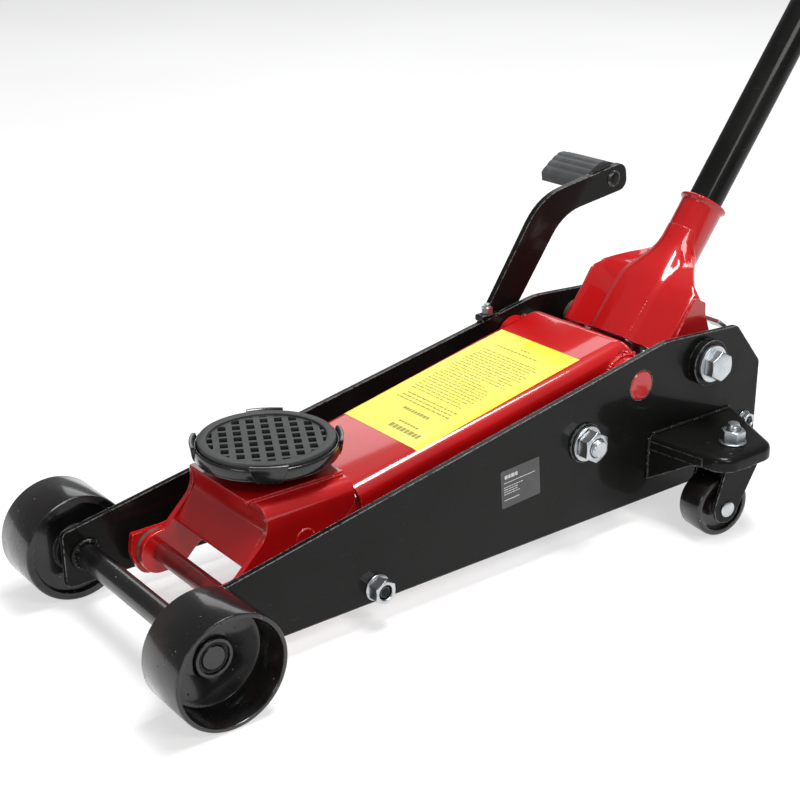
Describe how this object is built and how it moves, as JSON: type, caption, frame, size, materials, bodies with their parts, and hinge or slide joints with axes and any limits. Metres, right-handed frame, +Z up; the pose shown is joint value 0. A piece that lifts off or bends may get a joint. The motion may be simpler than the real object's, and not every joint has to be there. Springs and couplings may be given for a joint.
{
  "type": "hydraulic trolley jack",
  "caption": "Low red and black hydraulic trolley jack with swivel saddle on a parallelogram lift arm, pump handle in a red socket, foot pedal and rear swivel casters.",
  "frame": {"origin": "bottom centre of the jack's bounding box, on the floor", "axes": "+X towards the front wheels and saddle, +Y to the jack's left, +Z up"},
  "size_m": [1.2752, 0.334, 1.0715],
  "materials": {
    "red_paint": "gloss",
    "black_paint": "satin",
    "black_cast": "satin",
    "zinc": "satin",
    "steel": "satin",
    "hard_chrome": "polished",
    "rubber": "matt"
  },
  "bodies": {
    "frame": {"side_plate_left": "black_paint", "side_plate_right": "black_paint", "caster_bracket_left": "black_paint", "caster_bracket_right": "black_paint", "front_tie_nut_left": "zinc", "front_tie_nut_right": "zinc", "rear_tie_nut_left": "zinc", "rear_tie_nut_right": "zinc", "link_bolt_left": "zinc", "link_bolt_right": "zinc", "link_nut_left": "zinc", "link_nut_right": "zinc", "socket_collar_left": "black_paint", "socket_collar_right": "black_paint", "socket_bolt_left": "zinc", "socket_bolt_right": "zinc", "caster_nut_left": "zinc", "caster_nut_right": "zinc", "return_spring_left": "steel", "return_spring_right": "steel", "front_axle": "black_paint", "front_tie_rod": "black_paint", "rear_tie_rod": "black_paint", "base_plate": "black_paint", "power_unit_block": "black_paint", "reservoir_cylinder": "black_paint", "ram_gland": "steel", "pedal_bolt": "zinc", "plunger_spring": "steel"},
    "front_wheel_left": {"front_wheel_left": "black_cast"},
    "front_wheel_right": {"front_wheel_right": "black_cast"},
    "lift_arm": {"lift_arm": "red_paint", "arm_pivot_shaft": "red_paint"},
    "saddle_support": {"saddle_support": "red_paint", "support_shaft": "zinc"},
    "saddle": {"saddle_tray": "black_cast", "saddle_pad": "rubber"},
    "radius_links": {"radius_link_left": "red_paint", "radius_link_right": "red_paint", "link_rod": "red_paint"},
    "ram": {"ram_rod": "hard_chrome", "ram_crosshead": "steel", "pull_bar_left": "steel", "pull_bar_right": "steel"},
    "handle_socket": {"handle_socket": "red_paint"},
    "handle": {"handle_lower": "black_paint", "handle_upper": "black_paint", "handle_grip": "rubber", "release_drive_rod": "steel"},
    "pump_roller": {"pump_roller": "steel"},
    "pump_plunger": {"pump_plunger": "hard_chrome"},
    "release_spindle": {"release_spindle": "steel"},
    "pedal": {"pedal_arm": "black_paint", "pedal_pad": "rubber"},
    "pedal_pump": {"pedal_push_bar": "black_paint", "pedal_plunger": "hard_chrome"},
    "caster_fork_left": {"caster_fork_left": "black_paint"},
    "caster_wheel_left": {"caster_wheel_left": "black_cast"},
    "caster_fork_right": {"caster_fork_right": "black_paint"},
    "caster_wheel_right": {"caster_wheel_right": "black_cast"}
  },
  "joints": [
    {"name": "front_wheel_left_roll", "type": "hinge", "parent": "frame", "child": "front_wheel_left", "pos_m": [0.59255, 0.1176, 0.045], "axis": [0, 1, 0], "continuous": true},
    {"name": "front_wheel_right_roll", "type": "hinge", "parent": "frame", "child": "front_wheel_right", "pos_m": [0.59255, -0.1176, 0.045], "axis": [0, 1, 0], "continuous": true},
    {"name": "arm_lift", "type": "hinge", "parent": "frame", "child": "lift_arm", "pos_m": [0.14455, 0, 0.1304], "axis": [0, -1, 0], "range_deg": [0, 75]},
    {"name": "saddle_level", "type": "hinge", "parent": "lift_arm", "child": "saddle_support", "pos_m": [0.47475, 0, 0.07692], "axis": [0, -1, 0], "range_deg": [-75.5, 0.5]},
    {"name": "saddle_turn", "type": "hinge", "parent": "saddle_support", "child": "saddle", "pos_m": [0.46995, 0, 0.135], "axis": [0, 0, 1], "continuous": true},
    {"name": "link_swing", "type": "hinge", "parent": "frame", "child": "radius_links", "pos_m": [0.21035, 0, 0.095], "axis": [0, -1, 0], "range_deg": [-0.5, 75.5]},
    {"name": "ram_stroke", "type": "slide", "parent": "frame", "child": "ram", "axis": [1, 0, 0], "range_m": [-0.0005, 0.098], "deforming": ["return_spring_left", "return_spring_right"]},
    {"name": "handle_pump", "type": "hinge", "parent": "frame", "child": "handle_socket", "pos_m": [0.06515, 0, 0.1345], "axis": [0, 1, 0], "range_deg": [-33, 15]},
    {"name": "handle_twist", "type": "hinge", "parent": "handle_socket", "child": "handle", "pos_m": [0.06515, 0, 0.1345], "axis": [-0.5962, 0, 0.8028], "range_deg": [0, 90]},
    {"name": "roller_spin", "type": "hinge", "parent": "handle_socket", "child": "pump_roller", "pos_m": [0.0425, 0.024, 0.11804], "axis": [0, 1, 0], "continuous": true},
    {"name": "plunger_stroke", "type": "slide", "parent": "frame", "child": "pump_plunger", "axis": [0.7071, 0, -0.7071], "range_m": [-0.0075, 0.016], "deforming": ["plunger_spring"]},
    {"name": "release_turn", "type": "hinge", "parent": "frame", "child": "release_spindle", "pos_m": [0.06515, 0, 0.1], "axis": [0, 0, 1], "range_deg": [-0.5, 90.5]},
    {"name": "pedal_press", "type": "hinge", "parent": "frame", "child": "pedal", "pos_m": [0.17655, -0.0915, 0.121], "axis": [0, -1, 0], "range_deg": [0, 28], "stiffness_Nm_per_rad": 4, "springref_deg": -20.05},
    {"name": "pedal_pump_stroke", "type": "slide", "parent": "frame", "child": "pedal_pump", "axis": [1, 0, 0], "range_m": [-0.0005, 0.0101]},
    {"name": "caster_left_swivel", "type": "hinge", "parent": "frame", "child": "caster_fork_left", "pos_m": [0.08555, 0.141, 0.06], "axis": [0, 0, 1], "continuous": true},
    {"name": "caster_left_roll", "type": "hinge", "parent": "caster_fork_left", "child": "caster_wheel_left", "pos_m": [0.10238, 0.13863, 0.0275], "axis": [0.1392, 0.9903, 0], "continuous": true},
    {"name": "caster_right_swivel", "type": "hinge", "parent": "frame", "child": "caster_fork_right", "pos_m": [0.08555, -0.141, 0.06], "axis": [0, 0, 1], "continuous": true},
    {"name": "caster_right_roll", "type": "hinge", "parent": "caster_fork_right", "child": "caster_wheel_right", "pos_m": [0.10238, -0.14337, 0.0275], "axis": [0.1392, 0.9903, 0], "continuous": true}
  ],
  "couplings": [
    {"joint": "saddle_level", "follows": "arm_lift", "ratio": -1},
    {"joint": "link_swing", "follows": "arm_lift", "ratio": 1},
    {"joint": "ram_stroke", "follows": "arm_lift", "m_per_rad": 0.0744},
    {"joint": "plunger_stroke", "follows": "handle_pump", "m_per_rad": -0.02719},
    {"joint": "release_turn", "follows": "handle_twist", "ratio": 1},
    {"joint": "pedal_pump_stroke", "follows": "pedal_press", "m_per_rad": 0.0199}
  ]
}
